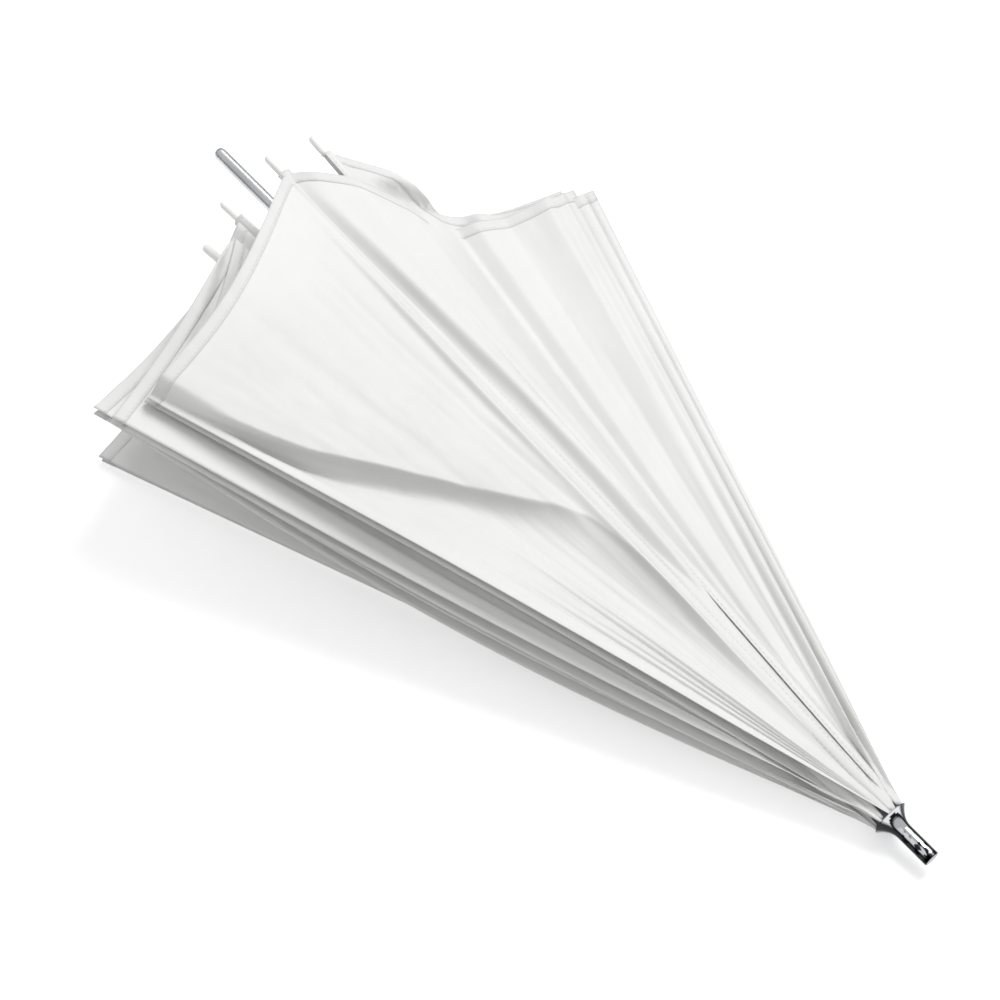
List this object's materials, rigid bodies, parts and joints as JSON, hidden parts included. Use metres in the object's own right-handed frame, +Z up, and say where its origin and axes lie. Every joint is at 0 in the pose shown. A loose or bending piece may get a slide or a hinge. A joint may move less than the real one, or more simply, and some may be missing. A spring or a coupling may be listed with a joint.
{
  "type": "umbrella reflector",
  "caption": "Collapsed white translucent photographic umbrella lying on its side, with a round metal shaft, flared chrome ferrule, folding ribs and a cloth canopy.",
  "frame": {"origin": "bottom centre of the collapsed umbrella's box, on the surface it lies on", "axes": "+X along the shaft towards the ferrule, tilted 4.4 degrees because the part rests on its ferrule and its lowest rib; +Z up; +Y across"},
  "size_m": [0.5752, 0.3334, 0.1003],
  "materials": {
    "canopy_cloth": "satin",
    "ferrule_chrome": "polished",
    "shaft_metal": "satin",
    "tip_plastic": "satin",
    "wire_steel": "satin",
    "rib_steel": "satin",
    "hub_plastic": "matte"
  },
  "bodies": {
    "shaft": {"shaft_tube": "shaft_metal", "shaft_end_plug": "shaft_metal", "ferrule": "ferrule_chrome", "crown_patch": "canopy_cloth", "top_notch": "hub_plastic", "notch_wire": "wire_steel", "stop_pin": "wire_steel", "lower_stop_ring": "wire_steel"},
    "catch": {"catch_spring": "wire_steel"},
    "runner": {"runner": "hub_plastic", "runner_wire": "wire_steel"},
    "rib_1": {"rib_1": "rib_steel", "rib_tip_1": "tip_plastic", "rib_rivet_1": "wire_steel"},
    "stretcher_1": {"stretcher_1": "rib_steel"},
    "rib_2": {"rib_2": "rib_steel", "rib_tip_2": "tip_plastic", "rib_rivet_2": "wire_steel"},
    "stretcher_2": {"stretcher_2": "rib_steel"},
    "rib_3": {"rib_3": "rib_steel", "rib_tip_3": "tip_plastic", "rib_rivet_3": "wire_steel"},
    "stretcher_3": {"stretcher_3": "rib_steel"},
    "rib_4": {"rib_4": "rib_steel", "rib_tip_4": "tip_plastic", "rib_rivet_4": "wire_steel"},
    "stretcher_4": {"stretcher_4": "rib_steel"},
    "rib_5": {"rib_5": "rib_steel", "rib_tip_5": "tip_plastic", "rib_rivet_5": "wire_steel"},
    "stretcher_5": {"stretcher_5": "rib_steel"},
    "rib_6": {"rib_6": "rib_steel", "rib_tip_6": "tip_plastic", "rib_rivet_6": "wire_steel"},
    "stretcher_6": {"stretcher_6": "rib_steel"},
    "rib_7": {"rib_7": "rib_steel", "rib_tip_7": "tip_plastic", "rib_rivet_7": "wire_steel"},
    "stretcher_7": {"stretcher_7": "rib_steel"},
    "rib_8": {"rib_8": "rib_steel", "rib_tip_8": "tip_plastic", "rib_rivet_8": "wire_steel"},
    "stretcher_8": {"stretcher_8": "rib_steel"},
    "canopy_1a": {"canopy_1a": "canopy_cloth"},
    "canopy_1b": {"canopy_1b": "canopy_cloth"},
    "canopy_2a": {"canopy_2a": "canopy_cloth"},
    "canopy_2b": {"canopy_2b": "canopy_cloth"},
    "canopy_3a": {"canopy_3a": "canopy_cloth"},
    "canopy_3b": {"canopy_3b": "canopy_cloth"},
    "canopy_4a": {"canopy_4a": "canopy_cloth"},
    "canopy_4b": {"canopy_4b": "canopy_cloth"},
    "canopy_5a": {"canopy_5a": "canopy_cloth"},
    "canopy_5b": {"canopy_5b": "canopy_cloth"},
    "canopy_6a": {"canopy_6a": "canopy_cloth"},
    "canopy_6b": {"canopy_6b": "canopy_cloth"},
    "canopy_7a": {"canopy_7a": "canopy_cloth"},
    "canopy_7b": {"canopy_7b": "canopy_cloth"},
    "canopy_8a": {"canopy_8a": "canopy_cloth"},
    "canopy_8b": {"canopy_8b": "canopy_cloth"}
  },
  "joints": [
    {"name": "rib_1_fold", "type": "hinge", "parent": "shaft", "child": "rib_1", "pos_m": [0.25489, 0.00274, 0.01974], "axis": [0, 1, 0], "range_deg": [0, 47.4], "deforming": ["catch_spring"]},
    {"name": "stretcher_1_fold", "type": "hinge", "parent": "rib_1", "child": "stretcher_1", "pos_m": [0.04153, 0.00274, 0.05342], "axis": [0, 1, 0], "range_deg": [-94.8, 0]},
    {"name": "rib_2_fold", "type": "hinge", "parent": "shaft", "child": "rib_2", "pos_m": [0.25474, -0.00186, 0.01784], "axis": [0.0539, 0.7071, 0.7051], "range_deg": [0, 47.4]},
    {"name": "stretcher_2_fold", "type": "hinge", "parent": "rib_2", "child": "stretcher_2", "pos_m": [0.041, -0.01411, 0.04646], "axis": [0.0539, 0.7071, 0.7051], "range_deg": [-94.8, 0]},
    {"name": "rib_3_fold", "type": "hinge", "parent": "shaft", "child": "rib_3", "pos_m": [0.25439, -0.00376, 0.01326], "axis": [0.0762, 0, 0.9971], "range_deg": [0, 47.4]},
    {"name": "stretcher_3_fold", "type": "hinge", "parent": "rib_3", "child": "stretcher_3", "pos_m": [0.03971, -0.02109, 0.02966], "axis": [0.0762, 0, 0.9971], "range_deg": [-94.8, 0]},
    {"name": "rib_4_fold", "type": "hinge", "parent": "shaft", "child": "rib_4", "pos_m": [0.25404, -0.00186, 0.00867], "axis": [0.0539, -0.7071, 0.7051], "range_deg": [0, 47.4]},
    {"name": "stretcher_4_fold", "type": "hinge", "parent": "rib_4", "child": "stretcher_4", "pos_m": [0.03843, -0.01411, 0.01287], "axis": [0.0539, -0.7071, 0.7051], "range_deg": [-94.8, 0]},
    {"name": "rib_5_fold", "type": "hinge", "parent": "shaft", "child": "rib_5", "pos_m": [0.2539, 0.00274, 0.00678], "axis": [0, -1, 0], "range_deg": [0, 47.4]},
    {"name": "stretcher_5_fold", "type": "hinge", "parent": "rib_5", "child": "stretcher_5", "pos_m": [0.0379, 0.00274, 0.00591], "axis": [0, -1, 0], "range_deg": [-94.8, 0]},
    {"name": "rib_6_fold", "type": "hinge", "parent": "shaft", "child": "rib_6", "pos_m": [0.25404, 0.00733, 0.00867], "axis": [-0.0539, -0.7071, -0.7051], "range_deg": [0, 47.4]},
    {"name": "stretcher_6_fold", "type": "hinge", "parent": "rib_6", "child": "stretcher_6", "pos_m": [0.03843, 0.01958, 0.01287], "axis": [-0.0539, -0.7071, -0.7051], "range_deg": [-94.8, 0]},
    {"name": "rib_7_fold", "type": "hinge", "parent": "shaft", "child": "rib_7", "pos_m": [0.25439, 0.00924, 0.01326], "axis": [-0.0762, 0, -0.9971], "range_deg": [0, 47.4]},
    {"name": "stretcher_7_fold", "type": "hinge", "parent": "rib_7", "child": "stretcher_7", "pos_m": [0.03971, 0.02656, 0.02966], "axis": [-0.0762, 0, -0.9971], "range_deg": [-94.8, 0]},
    {"name": "rib_8_fold", "type": "hinge", "parent": "shaft", "child": "rib_8", "pos_m": [0.25474, 0.00733, 0.01784], "axis": [-0.0539, 0.7071, -0.7051], "range_deg": [0, 47.4]},
    {"name": "stretcher_8_fold", "type": "hinge", "parent": "rib_8", "child": "stretcher_8", "pos_m": [0.041, 0.01958, 0.04646], "axis": [-0.0539, 0.7071, -0.7051], "range_deg": [-94.8, 0]},
    {"name": "runner_slide_by_stretcher_1", "type": "hinge", "parent": "stretcher_1", "child": "runner", "pos_m": [-0.17447, 0.00274, 0.05255], "axis": [0, 1, 0], "range_deg": [0, 47.4]},
    {"name": "canopy_1a_fold", "type": "hinge", "parent": "rib_1", "child": "canopy_1a", "pos_m": [0.05733, 0.00274, 0.05092], "axis": [-0.9878, 0, 0.1559], "range_deg": [-19.76, 0], "deforming": ["canopy_1a"]},
    {"name": "canopy_1b_fold", "type": "hinge", "parent": "rib_2", "child": "canopy_1b", "pos_m": [0.05683, -0.0132, 0.04434], "axis": [-0.9896, -0.0567, 0.1325], "range_deg": [0, 137.93], "deforming": ["canopy_1b"]},
    {"name": "canopy_2a_fold", "type": "hinge", "parent": "rib_2", "child": "canopy_2a", "pos_m": [0.05683, -0.0132, 0.04434], "axis": [-0.9896, -0.0567, 0.1325], "range_deg": [-67.85, 0], "deforming": ["canopy_2a"]},
    {"name": "canopy_2b_fold", "type": "hinge", "parent": "rib_3", "child": "canopy_2b", "pos_m": [0.05562, -0.0198, 0.02845], "axis": [-0.9939, -0.0802, 0.076], "range_deg": [0, 83.66], "deforming": ["canopy_2b"]},
    {"name": "canopy_3a_fold", "type": "hinge", "parent": "rib_3", "child": "canopy_3a", "pos_m": [0.05562, -0.0198, 0.02845], "axis": [-0.9939, -0.0802, 0.076], "range_deg": [-120.98, 0], "deforming": ["canopy_3a"]},
    {"name": "canopy_3b_fold", "type": "hinge", "parent": "rib_4", "child": "canopy_3b", "pos_m": [0.0544, -0.0132, 0.01256], "axis": [-0.9982, -0.0567, 0.0194], "range_deg": [0, 34], "deforming": ["canopy_3b"]},
    {"name": "canopy_4a_fold", "type": "hinge", "parent": "rib_4", "child": "canopy_4a", "pos_m": [0.0544, -0.0132, 0.01256], "axis": [-0.9982, -0.0567, 0.0194], "range_deg": [-142.61, 0], "deforming": ["canopy_4a"]},
    {"name": "canopy_4b_fold", "type": "hinge", "parent": "rib_5", "child": "canopy_4b", "pos_m": [0.0539, 0.00274, 0.00598], "axis": [-1, 0, -0.004], "range_deg": [0, 15.94], "deforming": ["canopy_4b"]},
    {"name": "canopy_5a_fold", "type": "hinge", "parent": "rib_5", "child": "canopy_5a", "pos_m": [0.0539, 0.00274, 0.00598], "axis": [-1, 0, -0.004], "range_deg": [-16.04, 0], "deforming": ["canopy_5a"]},
    {"name": "canopy_5b_fold", "type": "hinge", "parent": "rib_6", "child": "canopy_5b", "pos_m": [0.0544, 0.01868, 0.01256], "axis": [-0.9982, 0.0567, 0.0194], "range_deg": [0, 142.47], "deforming": ["canopy_5b"]},
    {"name": "canopy_6a_fold", "type": "hinge", "parent": "rib_6", "child": "canopy_6a", "pos_m": [0.0544, 0.01868, 0.01256], "axis": [-0.9982, 0.0567, 0.0194], "range_deg": [-62.65, 0], "deforming": ["canopy_6a"]},
    {"name": "canopy_6b_fold", "type": "hinge", "parent": "rib_7", "child": "canopy_6b", "pos_m": [0.05562, 0.02528, 0.02845], "axis": [-0.9939, 0.0802, 0.076], "range_deg": [0, 89.02], "deforming": ["canopy_6b"]},
    {"name": "canopy_7a_fold", "type": "hinge", "parent": "rib_7", "child": "canopy_7a", "pos_m": [0.05562, 0.02528, 0.02845], "axis": [-0.9939, 0.0802, 0.076], "range_deg": [-116.12, 0], "deforming": ["canopy_7a"]},
    {"name": "canopy_7b_fold", "type": "hinge", "parent": "rib_8", "child": "canopy_7b", "pos_m": [0.05683, 0.01868, 0.04434], "axis": [-0.9896, 0.0567, 0.1325], "range_deg": [0, 38.12], "deforming": ["canopy_7b"]},
    {"name": "canopy_8a_fold", "type": "hinge", "parent": "rib_8", "child": "canopy_8a", "pos_m": [0.05683, 0.01868, 0.04434], "axis": [-0.9896, 0.0567, 0.1325], "range_deg": [-143.76, 0], "deforming": ["canopy_8a"]},
    {"name": "canopy_8b_fold", "type": "hinge", "parent": "rib_1", "child": "canopy_8b", "pos_m": [0.05733, 0.00274, 0.05092], "axis": [-0.9878, 0, 0.1559], "range_deg": [0, 14.99], "deforming": ["canopy_8b"]},
    {"name": "catch_press", "type": "slide", "parent": "shaft", "child": "catch", "axis": [-0.0704, -0.3827, -0.9212], "range_m": [0, 0.0019], "stiffness_N_per_m": 300}
  ],
  "couplings": [
    {"joint": "stretcher_1_fold", "follows": "rib_1_fold", "ratio": -2},
    {"joint": "rib_2_fold", "follows": "rib_1_fold", "ratio": 1},
    {"joint": "stretcher_2_fold", "follows": "rib_1_fold", "ratio": -2},
    {"joint": "rib_3_fold", "follows": "rib_1_fold", "ratio": 1},
    {"joint": "stretcher_3_fold", "follows": "rib_1_fold", "ratio": -2},
    {"joint": "rib_4_fold", "follows": "rib_1_fold", "ratio": 1},
    {"joint": "stretcher_4_fold", "follows": "rib_1_fold", "ratio": -2},
    {"joint": "rib_5_fold", "follows": "rib_1_fold", "ratio": 1},
    {"joint": "stretcher_5_fold", "follows": "rib_1_fold", "ratio": -2},
    {"joint": "rib_6_fold", "follows": "rib_1_fold", "ratio": 1},
    {"joint": "stretcher_6_fold", "follows": "rib_1_fold", "ratio": -2},
    {"joint": "rib_7_fold", "follows": "rib_1_fold", "ratio": 1},
    {"joint": "stretcher_7_fold", "follows": "rib_1_fold", "ratio": -2},
    {"joint": "rib_8_fold", "follows": "rib_1_fold", "ratio": 1},
    {"joint": "stretcher_8_fold", "follows": "rib_1_fold", "ratio": -2},
    {"joint": "runner_slide_by_stretcher_1", "follows": "rib_1_fold", "ratio": 1},
    {"joint": "canopy_1a_fold", "follows": "rib_1_fold", "ratio": -0.41688},
    {"joint": "canopy_1b_fold", "follows": "rib_1_fold", "ratio": 2.91},
    {"joint": "canopy_2a_fold", "follows": "rib_1_fold", "ratio": -1.4314},
    {"joint": "canopy_2b_fold", "follows": "rib_1_fold", "ratio": 1.7649},
    {"joint": "canopy_3a_fold", "follows": "rib_1_fold", "ratio": -2.5523},
    {"joint": "canopy_3b_fold", "follows": "rib_1_fold", "ratio": 0.7172},
    {"joint": "canopy_4a_fold", "follows": "rib_1_fold", "ratio": -3.0087},
    {"joint": "canopy_4b_fold", "follows": "rib_1_fold", "ratio": 0.33625},
    {"joint": "canopy_5a_fold", "follows": "rib_1_fold", "ratio": -0.33842},
    {"joint": "canopy_5b_fold", "follows": "rib_1_fold", "ratio": 3.0057},
    {"joint": "canopy_6a_fold", "follows": "rib_1_fold", "ratio": -1.3218},
    {"joint": "canopy_6b_fold", "follows": "rib_1_fold", "ratio": 1.878},
    {"joint": "canopy_7a_fold", "follows": "rib_1_fold", "ratio": -2.4498},
    {"joint": "canopy_7b_fold", "follows": "rib_1_fold", "ratio": 0.80417},
    {"joint": "canopy_8a_fold", "follows": "rib_1_fold", "ratio": -3.0328},
    {"joint": "canopy_8b_fold", "follows": "rib_1_fold", "ratio": 0.31621}
  ]
}
